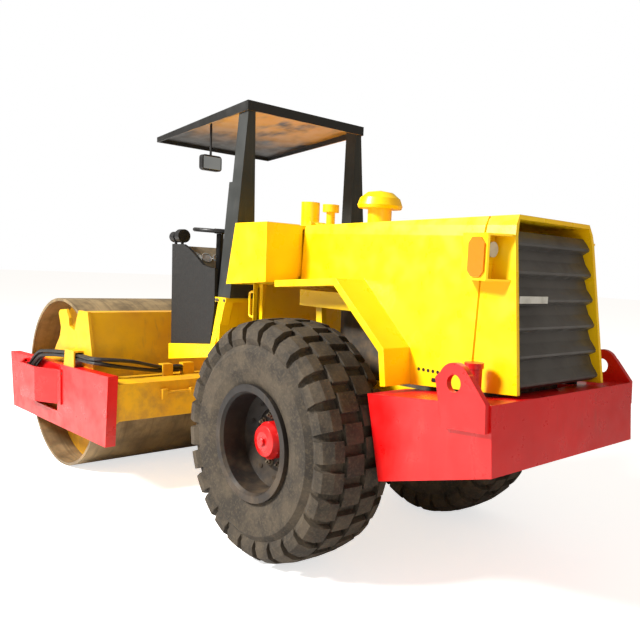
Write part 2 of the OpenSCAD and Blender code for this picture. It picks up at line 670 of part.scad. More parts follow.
module drum_frame() color(yellow) translate([drum_x, 0, 0]) difference() {
    union() {
        translate([0, 0, drum_z]) {
            both() xz(plate_in, plate_out) polygon(side_plate);
            // Scraper box above the rear beam
            xz(-plate_in - 5, plate_in + 5) polygon([[aft(-94), 675], [aft(-256), 675], [aft(-38), 330],
                [aft(5), 135], [aft(30), 135], [aft(-16), 350]]);
            // Front beam
            box([drum_r + 40, drum_r + 140], [-plate_in - 5, plate_in + 5], [-230, 50]);
        }
        // Rear cross beam
        box([beam_rear + 4, aft(40)], [-plate_in - 5, plate_in + 5], beam_z);
        hose_brackets();
        latch_box();
    }
    translate([0, 0, osc_z]) cyl_x(osc_r + run, beam_rear - 1, aft(39));
}
beam_z = [osc_z - 166, osc_z + 130];

// Brackets over the hoses beside the plates, a clamp on the beam and the block that takes the hoses
module hose_brackets() {
    both() difference() {
        xz(plate_out - 5, side_half) polygon([[-580, member_top(-580) + seat], [-580, lid_z],
            [-400, lid_z], [-370, member_top(-370) + seat]]);
        box([-600, -350], [plate_out, side_half - 12], [800, lid_z - 15]);
    }
    box([aft(185), aft(165)], [500, 590], [beam_z[1] - 1, 1000]);
    box([aft(185), aft(100)], [500, 590], [989, 1000]);
    box([aft(165), aft(95)], [290, 395], [beam_z[1] - 1, 1000]);
}
lid_z = 1100;

// Latch for the rod that locks the steering, at the left end of the beam
module latch_box() {
    box([beam_rear - 35, beam_rear + 5], [690, 735], [750, 840]);
    box([beam_rear - 35, beam_rear + 5], [465, 490], [790, 834]);
    translate([beam_rear - 20, 0, 812]) cyl_y(9, 478, 700);
}

// Side members outside the plates
member_front = [front_oh, drum_z + 180];
member_rear = [beam_rear - 46, drum_z + 228];
function member_top(x) = member_front[1] + (member_front[0] - x)
    * (member_rear[1] - member_front[1]) / (member_front[0] - member_rear[0]);
module member_outline() polygon([member_front, [front_oh - 60, drum_z - 338], [beam_rear, drum_z - 338], member_rear]);
module side_members() color(red) translate([drum_x, 0, 0]) {
    both() side_member();
    // Block that the hoses leave from, inside the left cover
    box([300, 328], [side_half - 5, side_half + 64], [drum_z + 60, drum_z + 155]);
}
module side_member() difference() {
    xz(plate_out + seat, side_half) member_outline();
    xz(plate_out, side_half - 22) offset(delta = -20) member_outline();
    box([-230, 250], [plate_out, side_half + 1], [drum_z - 210, drum_z + 130]);
}

// Folded covers over the drum motors
cover_top = drum_z + 160;
cover_low = drum_z - 140;
cover_line = [[510, side_half + seat], [290, side_half + 108], [-45, side_half + 108],
    [-265, side_half + seat], [-330, side_half + seat]];
module motor_covers() color(red) translate([drum_x, 0, cover_low]) both()
    linear_extrude(cover_top - cover_low) polygon(concat(cover_line, back(moved(cover_line, -12))));

// Hoses from the left motor to the block on the beam, as round points from the drum axle and the
// ground. Each hose of the bundle is offset by its column and row
hose_r = 14;
hose_gap = 30;
module hoses() color(dark) translate([drum_x, 0, 0])
    for (c = [0, 1], k = [0, 1]) {
        out = side_half + 18 + c * hose_gap;
        mid = plate_out + 17 + c * hose_gap;
        dz = (k - 0.5) * hose_gap;
        x = aft(117) - c * (hose_gap + 2);
        tube(curve([[300 - seat, out, 862 + dz * 1.4], [285, out, 862 + dz * 1.4],
            [270, out, 862 + dz * 1.4], [180, out, 930 + dz * 1.6],
            [60, out, 998 + dz * 1.5], [-40, out, 1026 + dz * 1.2],
            [-220, (out + mid) / 2, 1043 + dz], [-370, mid, 1048 + dz], [-480, mid, 1048 + dz],
            [-580, mid, 1048 + dz], [-710, mid, 1048 + dz], [-770, mid - 2, 1048 + dz],
            [x + 42, mid - 22, 1047 + dz], [x, 1015 + 20 * c, 1034 + dz * 1.5], [x, 840, 1005 + dz * 1.9], [x, 680, 972 + dz * 1.4],
            [x, 590, 957 + dz], [x, 500, 955 + dz], [x, 450, 955 + dz], [x, 422, 955 + dz],
            [x, 395 + seat, 955 + dz]], 2), hose_r);
    }

// Points between the given ones, on a smooth curve through them
function curve(p, n) = concat([for (i = [0:len(p) - 2], k = [0:n - 1])
    let (t = k / n, a = p[max(i - 1, 0)], b = p[i], c = p[i + 1], d = p[min(i + 2, len(p) - 1)])
    (2 * b + (c - a) * t + (2 * a - 5 * b + 4 * c - d) * t * t + (3 * b - a - 3 * c + d) * t * t * t) / 2],
    [p[len(p) - 1]]);
function unit(v) = v / norm(v);

module tube(p, r, sides = 8) {
    last = len(p) - 1;
    polyhedron(points = [for (i = [0:last])
            let (t = unit(p[min(i + 1, last)] - p[max(i - 1, 0)]), u = unit(cross(t, [0, 0, 1])), w = cross(u, t))
            for (k = [0:sides - 1]) p[i] + r * (cos(360 * k / sides) * u + sin(360 * k / sides) * w)],
        faces = concat([[for (k = [0:sides - 1]) k]],
            [for (i = [0:last - 1], k = [0:sides - 1], f = [0, 1])
                let (a = i * sides + k, b = i * sides + (k + 1) % sides)
                f == 0 ? [a, b + sides, b] : [a, a + sides, b + sides]],
            [[for (k = [sides - 1:-1:0]) last * sides + k]]));
}

// Carriers for the drum journals
module drum_carriers() color(yellow) translate([drum_x, 0, drum_z]) both() difference() {
    cyl_y(290, 1035, plate_in - seat);
    cyl_y(journal_r + run, 1000, 1100);
}

// Drum
module drum_shell() color([0.5, 0.44, 0.36]) translate([drum_x, 0, drum_z]) rotate([90, 0, 0])
    rotate_extrude($fn = 96) polygon([[drum_d / 2 - shell_t, -drum_w / 2], [drum_d / 2, -drum_w / 2],
        [drum_d / 2, drum_w / 2], [drum_d / 2 - shell_t, drum_w / 2]]);

head_y = drum_w / 2 - recess_d;
head_r = drum_d / 2 - shell_t - seat;
module drum_heads() color(yellow) translate([drum_x, 0, drum_z]) rotate([90, 0, 0])
    rotate_extrude($fn = 96) polygon([[0, -1068], [journal_r, -1068], [journal_r, -head_y], [head_r, -head_y],
        [head_r, -head_y + 30], [180, -head_y + 30], [180, head_y - 30], [head_r, head_y - 30],
        [head_r, head_y], [journal_r, head_y], [journal_r, 1068], [0, 1068]]);

chassis();
rear_axle();
engine();
radiator();
counterweight();
hood_rests();
lifting_lugs();
filler_post();
platform();
bulkhead();
side_boxes();
arch_shelves();
stacks();
console();
dash_panel();
steering_column();
steering_wheel();
seat_base();
seat_cushion();
seat_back();
rops_posts();
canopy();
rear_mirror();
work_lights();
engine_hood();
grille();
lamp_housings();
side_lenses();
rear_lamps();
precleaner();
tyre_left();
rim_left();
hub_left();
tyre_right();
rim_right();
hub_right();
centre_link();
barrel_left();
rod_left();
barrel_right();
rod_right();
drum_frame();
side_members();
motor_covers();
hoses();
drum_carriers();
drum_shell();
drum_heads();
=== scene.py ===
import math

import bmesh
import bpy
from mathutils import Matrix, Vector


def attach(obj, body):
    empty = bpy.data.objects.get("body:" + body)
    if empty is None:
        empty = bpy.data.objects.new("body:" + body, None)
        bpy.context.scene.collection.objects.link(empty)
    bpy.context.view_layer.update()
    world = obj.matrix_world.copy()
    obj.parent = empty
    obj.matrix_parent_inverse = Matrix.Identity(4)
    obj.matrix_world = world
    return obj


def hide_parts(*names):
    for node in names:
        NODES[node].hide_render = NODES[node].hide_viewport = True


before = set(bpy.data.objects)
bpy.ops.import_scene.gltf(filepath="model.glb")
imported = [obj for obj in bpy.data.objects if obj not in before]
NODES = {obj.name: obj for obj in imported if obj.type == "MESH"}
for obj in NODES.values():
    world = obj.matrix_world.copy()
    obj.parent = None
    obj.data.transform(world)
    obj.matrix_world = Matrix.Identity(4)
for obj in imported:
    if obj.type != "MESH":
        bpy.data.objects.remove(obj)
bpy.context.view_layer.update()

# Driving places in metres: rear axle, drum axle, half the track
AXLE_X = -1.0825
AXLE_Z = 0.785
DRUM_X = 1.8475
DRUM_Z = 0.75
TRACK = 0.785
SIDES = ((1, "left"), (-1, "right"))


# Materials
class Tree:
    """Short helper for a node tree."""

    def __init__(self, name):
        self.mat = bpy.data.materials.new(name)
        self.mat.use_nodes = True
        self.nt = self.mat.node_tree
        self.nt.nodes.clear()
        self.out = self.add("ShaderNodeOutputMaterial")
        self.bsdf = self.add("ShaderNodeBsdfPrincipled")
        self.link(self.bsdf.outputs[0], self.out.inputs[0])
        self.coord = self.add("ShaderNodeTexCoord").outputs["Object"]

    def add(self, kind, **values):
        node = self.nt.nodes.new(kind)
        for key, value in values.items():
            setattr(node, key, value)
        return node

    def link(self, a, b):
        self.nt.links.new(a, b)

    def put(self, socket, value):
        if isinstance(value, bpy.types.NodeSocket):
            self.link(value, socket)
        else:
            socket.default_value = value

    def scaled(self, scale):
        node = self.add("ShaderNodeMapping")
        self.link(self.coord, node.inputs[0])
        node.inputs["Scale"].default_value = scale
        return node.outputs[0]

    def noise(self, scale, detail=4.0, rough=0.55, stretch=None):
        node = self.add("ShaderNodeTexNoise")
        node.inputs["Scale"].default_value = scale
        node.inputs["Detail"].default_value = detail
        node.inputs["Roughness"].default_value = rough
        self.link(self.scaled(stretch) if stretch else self.coord, node.inputs["Vector"])
        return node.outputs["Fac"]

    def band(self, value, low, high, to_low=0.0, to_high=1.0):
        node = self.add("ShaderNodeMapRange", interpolation_type="SMOOTHSTEP")
        self.put(node.inputs["Value"], value)
        for key, v in (("From Min", low), ("From Max", high), ("To Min", to_low), ("To Max", to_high)):
            node.inputs[key].default_value = v
        return node.outputs[0]

    def math(self, op, a, b=0.0):
        node = self.add("ShaderNodeMath", operation=op)
        self.put(node.inputs[0], a)
        self.put(node.inputs[1], b)
        return node.outputs[0]

    def mix(self, factor, a, b):
        node = self.add("ShaderNodeMix", data_type="RGBA")
        self.put(node.inputs[0], factor)
        self.put(node.inputs[6], a)
        self.put(node.inputs[7], b)
        return node.outputs[2]

    def height(self):
        node = self.add("ShaderNodeSeparateXYZ")
        self.link(self.coord, node.inputs[0])
        return node.outputs

    def facing(self):
        node = self.add("ShaderNodeSeparateXYZ")
        self.link(self.add("ShaderNodeNewGeometry").outputs["Normal"], node.inputs[0])
        return node.outputs

    def bump(self, height, strength, distance=0.002, bevel=0.0):
        node = self.add("ShaderNodeBump")
        node.inputs["Strength"].default_value = strength
        node.inputs["Distance"].default_value = distance
        self.link(height, node.inputs["Height"])
        if bevel:
            edge = self.add("ShaderNodeBevel", samples=4)
            edge.inputs["Radius"].default_value = bevel
            self.link(edge.outputs[0], node.inputs["Normal"])
        self.link(node.outputs[0], self.bsdf.inputs["Normal"])


def rgb(r, g, b):
    """An sRGB colour, 0 to 255, as a linear colour."""
    def lin(c):
        c /= 255
        return c / 12.92 if c <= 0.04045 else ((c + 0.055) / 1.055) ** 2.4
    return (lin(r), lin(g), lin(b), 1)


def paint(name, base, deep, dust, rust, gloss=0.32, dust_high=1.0, chips=0.78, grime=0.5, shine=0.5):
    """Used gloss paint: slow shade changes, rain streaks, dust that grows downward, small chips."""
    t = Tree(name)
    slow = t.noise(1.7, 3)
    colour = t.mix(t.band(slow, 0.35, 0.75), base, deep)
    streak = t.noise(1.0, 5, stretch=(26, 26, 1.6))
    patchy = t.noise(3.1, 5)
    wash = t.math("MULTIPLY", t.band(streak, 0.52, 0.8), t.band(patchy, 0.42, 0.75))
    colour = t.mix(t.math("MULTIPLY", wash, grime), colour, dust)
    low = t.band(t.height()[2], dust_high, dust_high - 0.8)
    cloud = t.band(t.noise(5.5, 7, 0.65), 0.38, 0.72)
    colour = t.mix(t.math("MULTIPLY", t.math("MULTIPLY", low, cloud), 0.75), colour, dust)
    chip = t.band(t.noise(34, 5, 0.6), chips, chips + 0.03)
    colour = t.mix(chip, colour, rust)
    t.link(colour, t.bsdf.inputs["Base Color"])
    rough = t.band(t.noise(7, 5), 0.3, 0.8, gloss - 0.07, gloss + 0.2)
    t.link(t.math("MAXIMUM", rough, t.math("MULTIPLY", low, 0.55)), t.bsdf.inputs["Roughness"])
    t.bsdf.inputs["Specular IOR Level"].default_value = shine
    t.bsdf.inputs["Coat Weight"].default_value = 0.2 * shine
    t.bsdf.inputs["Coat Roughness"].default_value = 0.2
    grain = t.math("ADD", t.math("MULTIPLY", t.noise(9, 3), 0.8), t.math("MULTIPLY", chip, -0.25))
    t.bump(grain, 0.35, 0.003, bevel=0.004)
    return t.mat


DUST = rgb(150, 122, 84)
RUST = rgb(92, 52, 28)
yellow = paint("yellow_paint", rgb(255, 212, 0), rgb(255, 200, 0), rgb(196, 144, 30), rgb(120, 84, 30),
               grime=0.22)
# A darker copy of the yellow paint for the drum frame, carriers and heads: partly real dust and wear, partly
# painted shade where these parts lie in shade.
yellow_dusty_and_shaded = paint("yellow_dusty_and_shaded", rgb(236, 180, 14), rgb(212, 148, 18), rgb(164, 120, 54), rgb(130, 86, 34),
                    gloss=0.4, dust_high=1.5, chips=0.73, grime=0.8)
red = paint("red_paint", rgb(214, 12, 14), rgb(196, 8, 10), rgb(150, 60, 45), rgb(90, 24, 18),
            dust_high=0.9, chips=0.77)
black = paint("black_paint", rgb(34, 34, 35), rgb(24, 24, 25), rgb(84, 76, 64), rgb(70, 52, 40),
              gloss=0.4, dust_high=0.9, shine=0.35)
grey = paint("grey_paint", rgb(52, 54, 54), rgb(42, 44, 43), rgb(110, 104, 92), rgb(96, 70, 48),
             gloss=0.42, shine=0.3)
rim_black = paint("rim_paint", rgb(34, 30, 28), rgb(26, 23, 22), rgb(96, 80, 60), rgb(84, 56, 38),
                  gloss=0.5, dust_high=1.1, chips=0.74, shine=0.3)
engine_dark = paint("engine_paint", rgb(64, 62, 60), rgb(46, 44, 43), DUST, RUST, gloss=0.55, dust_high=1.8)
grille_paint = paint("grille_paint", rgb(74, 72, 70), rgb(58, 56, 54), rgb(110, 98, 80), rgb(86, 70, 56),
                     gloss=0.36, dust_high=1.5, grime=0.7, shine=0.5)


def canopy_material():
    """Black on top; underneath, a painted reflection of the yellow machine, as dull yellow-brown patches
    towards the posts.
    """
    t = Tree("canopy_paint")
    down = t.band(t.facing()[2], -0.5, -0.9)
    x = t.height()[0]
    near = t.band(x, 1.0, 0.1)
    patch = t.band(t.noise(2.6, 6, 0.55, stretch=(1, 1.6, 1)), 0.3, 0.55)
    # Painted reflection: on the black underside, yellow-brown patches stand in for the yellow hood mirrored
    # in the glossy paint.
    painted_reflection = t.math("MULTIPLY", t.math("MULTIPLY", down, near), patch)
    colour = t.mix(painted_reflection, rgb(26, 26, 26), rgb(226, 160, 26))
    t.link(colour, t.bsdf.inputs["Base Color"])
    t.link(t.band(t.noise(8, 4), 0.3, 0.8, 0.28, 0.5), t.bsdf.inputs["Roughness"])
    t.bump(t.noise(6, 3), 0.4, 0.004, bevel=0.004)
    return t.mat


def rubber_tyre():
    """Dusty tyre rubber: clouds of two dark browns and fine paler scuffs all over."""
    t = Tree("tyre_rubber")
    cloud = t.band(t.noise(6, 7, 0.6), 0.35, 0.7)
    fine = t.band(t.noise(60, 4, 0.6), 0.45, 0.7)
    colour = t.mix(cloud, rgb(46, 41, 35), rgb(74, 65, 53))
    colour = t.mix(t.math("MULTIPLY", fine, 0.35), colour, rgb(98, 86, 68))
    t.link(colour, t.bsdf.inputs["Base Color"])
    t.bsdf.inputs["Roughness"].default_value = 0.82
    t.bsdf.inputs["Specular IOR Level"].default_value = 0.35
    ridges = t.math("ADD", t.math("MULTIPLY", t.noise(90, 4), 0.5), t.noise(18, 5))
    t.bump(ridges, 0.5, 0.004)
    return t.mat


def drum_steel():
    """Rolled steel: brown film of dust and rust, polished in bands round the drum."""
    t = Tree("drum_steel")
    bands = t.noise(1.0, 5, stretch=(1.2, 34, 1.2))
    cloud = t.noise(4.5, 8, 0.65)
    colour = t.mix(t.band(cloud, 0.32, 0.68), rgb(112, 96, 72), rgb(158, 136, 100))
    colour = t.mix(t.math("MULTIPLY", t.band(bands, 0.45, 0.75), 0.6), colour, rgb(92, 78, 60))
    rust = t.band(t.noise(16, 6, 0.7), 0.62, 0.75)
    colour = t.mix(t.math("MULTIPLY", rust, 0.6), colour, rgb(104, 66, 36))
    t.link(colour, t.bsdf.inputs["Base Color"])
    t.bsdf.inputs["Metallic"].default_value = 0.35
    t.link(t.band(cloud, 0.3, 0.8, 0.42, 0.75), t.bsdf.inputs["Roughness"])
    t.bump(t.math("ADD", t.noise(40, 5), t.math("MULTIPLY", bands, 0.6)), 0.35, 0.002, bevel=0.003)
    return t.mat


def plain(name, base, other, rough, scale, strength, metal=0.0, coat=0.0):
    """Moulded or cast surface: two close shades and a fine grain."""
    t = Tree(name)
    t.link(t.mix(t.band(t.noise(scale / 8, 5), 0.35, 0.7), base, other), t.bsdf.inputs["Base Color"])
    t.link(t.band(t.noise(scale / 4, 4), 0.3, 0.8, rough - 0.06, rough + 0.1), t.bsdf.inputs["Roughness"])
    t.bsdf.inputs["Metallic"].default_value = metal
    t.bsdf.inputs["Coat Weight"].default_value = coat
    t.bump(t.noise(scale, 4), strength, 0.001, bevel=0.0015)
    return t.mat


def lens(name, base, deep):
    """Clear coloured plastic with pressed ribs."""
    t = Tree(name)
    wave = t.add("ShaderNodeTexWave", bands_direction="Z")
    wave.inputs["Scale"].default_value = 60
    t.link(t.coord, wave.inputs[0])
    t.link(t.mix(t.band(wave.outputs["Fac"], 0.0, 1.0, 0.0, 0.35), base, deep), t.bsdf.inputs["Base Color"])
    t.bsdf.inputs["Roughness"].default_value = 0.18
    t.bsdf.inputs["Transmission Weight"].default_value = 0.15
    t.bsdf.inputs["Coat Weight"].default_value = 0.6
    t.bump(wave.outputs["Fac"], 0.2, 0.001)
    return t.mat


canopy_paint = canopy_material()
tyre_rubber = rubber_tyre()
steel_drum = drum_steel()
console_black = plain("console_plastic", rgb(12, 12, 12), rgb(22, 21, 20), 0.6, 220, 0.35)
panel_grey = plain("panel_plastic", rgb(150, 138, 116), rgb(126, 116, 98), 0.55, 120, 0.25)
vinyl = plain("seat_vinyl", rgb(30, 30, 31), rgb(42, 41, 40), 0.48, 500, 0.6, coat=0.05)
hose_rubber = plain("hose_rubber", rgb(28, 28, 29), rgb(48, 45, 42), 0.5, 160, 0.3)
rest_rubber = plain("rubber", rgb(24, 24, 24), rgb(34, 33, 32), 0.7, 120, 0.3)
zinc_dusty = plain("zinc_dusty", rgb(112, 100, 82), rgb(84, 74, 60), 0.55, 90, 0.3, metal=0.4)
chrome = plain("rod_chrome", rgb(214, 216, 218), rgb(196, 198, 202), 0.12, 60, 0.03, metal=1.0)
core = plain("radiator_core", rgb(92, 92, 94), rgb(60, 60, 62), 0.5, 260, 0.6, metal=0.5)
glass_mirror = plain("mirror_glass", rgb(205, 212, 216), rgb(188, 196, 202), 0.06, 20, 0.02, metal=1.0)
amber = lens("amber_lens", rgb(246, 138, 24), rgb(214, 92, 10))
clear_lens = plain("lamp_glass", rgb(206, 208, 206), rgb(150, 154, 156), 0.1, 30, 0.3, coat=0.5)
plate_white = plain("blank_plate", rgb(206, 206, 200), rgb(180, 180, 172), 0.4, 90, 0.15)

BY_NODE = {
    yellow: ["chassis", "platform", "bulkhead", "side_boxes", "arch_shelves", "stacks", "engine_hood",
             "lamp_housings", "precleaner", "centre_link", "barrel_left", "barrel_right"],
    yellow_dusty_and_shaded: ["drum_frame", "drum_carriers", "drum_heads"],
    red: ["counterweight", "lifting_lugs", "filler_post", "hub_left", "hub_right", "side_members",
          "motor_covers"],
    black: ["rear_axle", "steering_column", "steering_wheel", "seat_base", "rear_mirror", "work_lights"],
    grey: ["rops_posts"],
    rim_black: ["rim_left", "rim_right"],
    engine_dark: ["engine"],
    grille_paint: ["grille"],
    canopy_paint: ["canopy"],
    tyre_rubber: ["tyre_left", "tyre_right"],
    steel_drum: ["drum_shell"],
    console_black: ["console"],
    panel_grey: ["dash_panel"],
    vinyl: ["seat_cushion", "seat_back"],
    rest_rubber: ["hood_rests"],
    hose_rubber: ["hoses"],
    chrome: ["rod_left", "rod_right"],
    core: ["radiator"],
    amber: ["side_lenses"],
    clear_lens: ["rear_lamps"],
}
for material, names in BY_NODE.items():
    for name in names:
        for s in NODES[name].material_slots:
            s.material = material


# Mesh helpers
def mesh_object(name, bm, material, body, smooth=False):
    mesh = bpy.data.meshes.new(name)
    bm.normal_update()
    bm.to_mesh(mesh)
    bm.free()
    if smooth:
        for p in mesh.polygons:
            p.use_smooth = True
    obj = bpy.data.objects.new(name, mesh)
    bpy.context.scene.collection.objects.link(obj)
    mesh.materials.append(material)
    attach(obj, body)
    return obj


def aimed(direction, at):
    """A matrix that turns +Z to direction and moves to at."""
    return Matrix.Translation(at) @ Vector(direction).to_track_quat("Z", "Y").to_matrix().to_4x4()


def add_lathe(bm, profile, matrix, steps=24):
    """Turns a (radius, height) profile round Z."""
    rings = []
    for r, z in profile:
        if r < 1e-6:
            rings.append([bm.verts.new(matrix @ Vector((0, 0, z)))])
        else:
            rings.append([bm.verts.new(matrix @ Vector((r * math.cos(2 * math.pi * i / steps),
                                                        r * math.sin(2 * math.pi * i / steps), z)))
                          for i in range(steps)])
    for a, b in zip(rings, rings[1:]):
        for i in range(steps):
            j = (i + 1) % steps
            if len(a) == 1 and len(b) == 1:
                continue
            if len(a) == 1:
                bm.faces.new([a[0], b[i], b[j]])
            elif len(b) == 1:
                bm.faces.new([a[i], a[j], b[0]])
            else:
                bm.faces.new([a[i], a[j], b[j], b[i]])


def add_bolt(bm, at, direction, r, h):
    """Hexagon head with a chamfer, on a washer."""
    m = aimed(direction, at)
    add_lathe(bm, [(r * 1.5, 0), (r * 1.5, h * 0.22), (r * 1.4, h * 0.3), (0, h * 0.3)], m, 16)
    add_lathe(bm, [(r, h * 0.28), (r, h * 0.9), (r * 0.86, h), (0, h)], m, 6)


def add_tube(bm, points, r, steps=10, caps=True):
    """A round tube along a line of points."""
    pts = [Vector(p) for p in points]
    up = None
    rings = []
    for i, p in enumerate(pts):
        d = (pts[min(i + 1, len(pts) - 1)] - pts[max(i - 1, 0)]).normalized()
        if up is None:
            up = d.orthogonal().normalized()
        up = (up - d * up.dot(d)).normalized()
        side = d.cross(up)
        rings.append([bm.verts.new(p + r * (math.cos(a) * up + math.sin(a) * side))
                      for a in (2 * math.pi * k / steps for k in range(steps))])
    for a, b in zip(rings, rings[1:]):
        for k in range(steps):
            j = (k + 1) % steps
            bm.faces.new([a[k], a[j], b[j], b[k]])
    if caps:
        bm.faces.new(rings[0][::-1])
        bm.faces.new(rings[-1])


def curve(points, n):
    """Catmull-Rom points through the given points."""
    p = [Vector(q) for q in points]
    p = [2 * p[0] - p[1]] + p + [2 * p[-1] - p[-2]]
    out = []
    for i in range(1, len(p) - 2):
        for k in range(n):
            t = k / n
            a, b, c, d = p[i - 1], p[i], p[i + 1], p[i + 2]
            out.append(0.5 * ((2 * b) + (c - a) * t + (2 * a - 5 * b + 4 * c - d) * t * t
                              + (3 * b - a - 3 * c + d) * t * t * t))
    out.append(p[-2])
    return out


def add_box(bm, low, high, bevel):
    """A box with bevelled edges."""
    verts = bmesh.ops.create_cube(bm, size=1.0)["verts"]
    size = Vector(high) - Vector(low)
    mid = (Vector(high) + Vector(low)) / 2
    for v in verts:
        v.co = Vector((v.co.x * size.x, v.co.y * size.y, v.co.z * size.z)) + mid
    edges = list({e for v in verts for e in v.link_edges})
    bmesh.ops.bevel(bm, geom=edges, offset=bevel, segments=2, affect="EDGES", profile=0.6)


def shaded_hole_disc(bm, at, direction, r):
    """A shallow dished spot that reads as a round hole; drawn in a dark finish it is painted shade for the
    hole's inside.
    """
    add_lathe(bm, [(r * 1.2, 0), (r * 1.2, 0.0015), (r, 0.0015), (r * 0.9, 0.0003), (0, 0.0003)],
              aimed(direction, at), 16)


def ring(centre, radius, count, phase=0.0):
    """Places on a circle round an axis along y, the first one phase steps past +X."""
    for i in range(count):
        a = 2 * math.pi * (i + phase) / count
        yield centre + Vector((radius * math.cos(a), 0, radius * math.sin(a)))


# Wheels
NUT_COUNT = 10
NUT_RING = 0.162
NUT_FACE = 0.0665
CAP_BOLT_COUNT = 6
CAP_BOLT_RING = 0.109
CAP_BOLT_FACE = 0.127
CAP_FACE = 0.1713
SPOT_COUNT = 10
SPOT_RING = 0.255
SPOT_FACE = 0.0735
VALVE_RING = 0.29
VALVE_FACE = 0.075


def wheel_nuts(name, centre, out):
    """Nuts on a circle, each with the end of its stud."""
    bm = bmesh.new()
    for spot in ring(centre + out * NUT_FACE, NUT_RING, NUT_COUNT):
        add_bolt(bm, spot, out, 0.019, 0.024)
        add_lathe(bm, [(0.009, 0.02), (0.009, 0.036), (0.006, 0.039), (0, 0.039)], aimed(out, spot), 10)
    mesh_object(f"wheel_nuts_{name}", bm, zinc_dusty, f"wheel_{name}")


def hub_bolts(name, centre, out):
    """Bolts of the hub's end cover and the plug at its centre."""
    bm = bmesh.new()
    for spot in ring(centre + out * CAP_BOLT_FACE, CAP_BOLT_RING, CAP_BOLT_COUNT, 0.5):
        add_bolt(bm, spot, out, 0.0105, 0.010)
    add_lathe(bm, [(0.030, 0), (0.030, 0.012), (0.026, 0.016), (0, 0.016)],
              aimed(out, centre + out * CAP_FACE), 8)
    mesh_object(f"hub_bolts_{name}", bm, red, f"wheel_{name}")


def rim_details(name, centre, out):
    """Raised spots round the rim's dish and the valve."""
    bm = bmesh.new()
    for spot in ring(centre + out * SPOT_FACE, SPOT_RING, SPOT_COUNT, 0.5):
        add_lathe(bm, [(0.019, 0.002), (0.016, 0.0035), (0.013, 0.003), (0, 0.003)], aimed(out, spot), 14)
    foot = centre + Vector((0, 0, VALVE_RING)) + out * VALVE_FACE
    add_tube(bm, curve([foot, foot + out * 0.03, foot + out * 0.06 + Vector((0, 0, -0.006))], 5), 0.005, 8)
    mesh_object(f"rim_details_{name}", bm, rim_black, f"wheel_{name}", smooth=True)


for side, side_name in SIDES:
    wheel_centre = Vector((AXLE_X, side * TRACK, AXLE_Z))
    outward = Vector((0, side, 0))
    wheel_nuts(side_name, wheel_centre, outward)
    hub_bolts(side_name, wheel_centre, outward)
    rim_details(side_name, wheel_centre, outward)


# Drum
HEAD_BOLT_COUNT = 16
HEAD_BOLT_RING = 0.36
HEAD_FACE = 0.845


def drum_bolts(side, name):
    """The bolt circle of one drum head."""
    bm = bmesh.new()
    for spot in ring(Vector((DRUM_X, side * HEAD_FACE, DRUM_Z)), HEAD_BOLT_RING, HEAD_BOLT_COUNT):
        add_bolt(bm, spot, Vector((0, side, 0)), 0.014, 0.013)
    mesh_object(f"drum_bolts_{name}", bm, zinc_dusty, "drum")


for side, side_name in SIDES:
    drum_bolts(side, side_name)


# Seat
PAD_STEPS = 28
PULL_IN = 0.018
SEAM_WIDTH = 0.007
SEAM_DEPTH = 0.009
WELT_RADIUS = 0.004
WELT_STEPS = 8
WELT_CORNER = 0.06


def pad_place(low, high, size):
    """Maps a block of that size, centred on zero, into the space between two quads."""
    def place(c):
        a, b, t = (c[i] / size[i] + 0.5 for i in range(3))
        x_low = low[0][0] + a * (low[0][1] - low[0][0])
        x_high = high[0][0] + a * (high[0][1] - high[0][0])
        y = low[1][0] + b * (low[1][1] - low[1][0])
        return Vector(((1 - t) * x_low + t * x_high, y, low[2] + t * size[2]))
    return place


def pad_point(q, size, radius, crown, channels, face):
    """A point of a block's surface, with round edges, sides that pull in between the corners, and a
    crown with sewn channels on its face (axis, sign)."""
    axis, sign = face
    across = 0 if axis == 2 else 2
    along = 3 - axis - across
    inner = Vector([max(-size[k] / 2 + radius, min(size[k] / 2 - radius, q[k])) for k in range(3)])
    d = Vector(q) - inner
    c = inner + (d.normalized() * radius if d.length > 1e-9 else d)
    e = [abs(2 * c[k] / size[k]) for k in range(3)]
    for k, other in ((across, along), (along, across)):
        c[k] *= 1 - PULL_IN * max(0, 1 - e[other] ** 2) * e[k] ** 4
    if c[axis] * sign > 0:
        swell = (1 - min(1, e[across]) ** 4) * (1 - min(1, e[along]) ** 4)
        at = c[across] / size[across] + 0.5
        groove = sum(math.exp(-((at - w) * size[across] / SEAM_WIDTH) ** 2) for w in channels)
        c[axis] += sign * (crown * swell - SEAM_DEPTH * min(1, groove) * swell)
    return c


def pad_surface(size, moved):
    """A closed block of six fine grids, each of its points put through moved."""
    bm = bmesh.new()
    for axis in range(3):
        u, v = (axis + 1) % 3, (axis + 2) % 3
        for sign in (-1, 1):
            rows = []
            for i in range(PAD_STEPS + 1):
                row = []
                for j in range(PAD_STEPS + 1):
                    q = [0.0, 0.0, 0.0]
                    q[axis] = sign * size[axis] / 2
                    q[u] = (i / PAD_STEPS - 0.5) * size[u]
                    q[v] = (j / PAD_STEPS - 0.5) * size[v]
                    row.append(bm.verts.new(moved(q)))
                rows.append(row)
            for i in range(PAD_STEPS):
                for j in range(PAD_STEPS):
                    quad = [rows[i][j], rows[i + 1][j], rows[i + 1][j + 1], rows[i][j + 1]]
                    bm.faces.new(quad if sign > 0 else quad[::-1])
    bmesh.ops.remove_doubles(bm, verts=bm.verts, dist=1e-5)
    return bm


